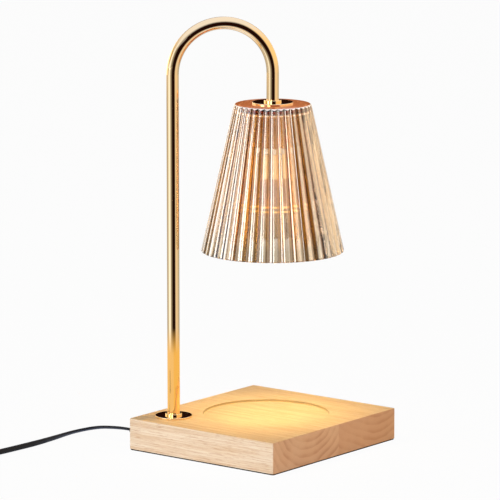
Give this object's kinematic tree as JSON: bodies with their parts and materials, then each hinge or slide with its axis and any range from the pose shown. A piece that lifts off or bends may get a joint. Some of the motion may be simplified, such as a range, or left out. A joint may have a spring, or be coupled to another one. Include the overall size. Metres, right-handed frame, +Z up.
{
  "type": "candle warmer lamp",
  "caption": "Table lamp that melts a candle: wooden board with a round recess, bent tube arm and a ribbed glass shade over a twist-lock reflector bulb, with an in-line dimmer.",
  "frame": {"origin": "centre of the board's outline, on the surface the lamp stands on", "axes": "+Z up; X along the board's shorter side (146 mm), Y along its longer side (162 mm); the pole stands at the -X, -Y corner"},
  "size_m": [0.2445, 0.421, 0.3486],
  "materials": {
    "wood": "fine straight grain, satin oiled",
    "gold": "polished, lacquered",
    "amber_glass": "pressed, clear champagne amber",
    "black_pad": "matt",
    "cord_black": "satin",
    "steel": "zinc plated",
    "ceramic": "unglazed white",
    "bulb_reflector": "faceted, metal-coated inside",
    "bulb_lens": "clear",
    "dimmer_black": "fine spark texture",
    "wheel_black": "satin",
    "plug_black": "moulded",
    "blade_metal": "nickel plated",
    "tie_black": "hook and loop strap"
  },
  "bodies": {
    "lamp": {"base_board": "wood", "base_pad": "black_pad", "foot_flange": "gold", "foot_washer": "steel", "foot_nut": "steel", "arm_tube": "gold", "inner_lead": "cord_black", "strain_relief": "cord_black", "glass_shade": "amber_glass", "shade_disc": "gold", "shade_collar": "gold", "shade_gasket": "black_pad", "holder_cup": "gold", "holder_nut": "steel", "lamp_socket": "ceramic", "socket_screw_1": "steel", "socket_screw_2": "steel", "dimmer_lower_shell": "dimmer_black", "dimmer_upper_shell": "dimmer_black", "dimmer_control": "dimmer_black", "dimmer_inlet_relief": "cord_black", "dimmer_outlet_relief": "cord_black", "dimmer_screw_1": "steel", "dimmer_screw_2": "steel", "cord_lead": "cord_black", "cord_link": "cord_black", "cord_coil": "cord_black", "cord_tie": "tie_black", "cord_tail": "cord_black", "plug_body": "plug_black", "plug_blade_1": "blade_metal", "plug_blade_2": "blade_metal"},
    "bulb": {"bulb_base": "ceramic", "bulb_pin_1": "steel", "bulb_pin_2": "steel", "bulb_reflector": "bulb_reflector", "bulb_lens": "bulb_lens", "bulb_capsule": "bulb_lens"},
    "dimmer_wheel": {"dimmer_wheel": "wheel_black"}
  },
  "joints": [
    {"name": "bulb_twist", "type": "hinge", "parent": "lamp", "child": "bulb", "pos_m": [0.00454, 0.00652, 0.2387], "axis": [0, 0, 1], "range_deg": [-20, 0]},
    {"name": "dimmer_wheel_turn", "type": "hinge", "parent": "lamp", "child": "dimmer_wheel", "pos_m": [-0.158, -0.268, 0.013], "axis": [1, 0, 0], "range_deg": [0, 270]}
  ]
}
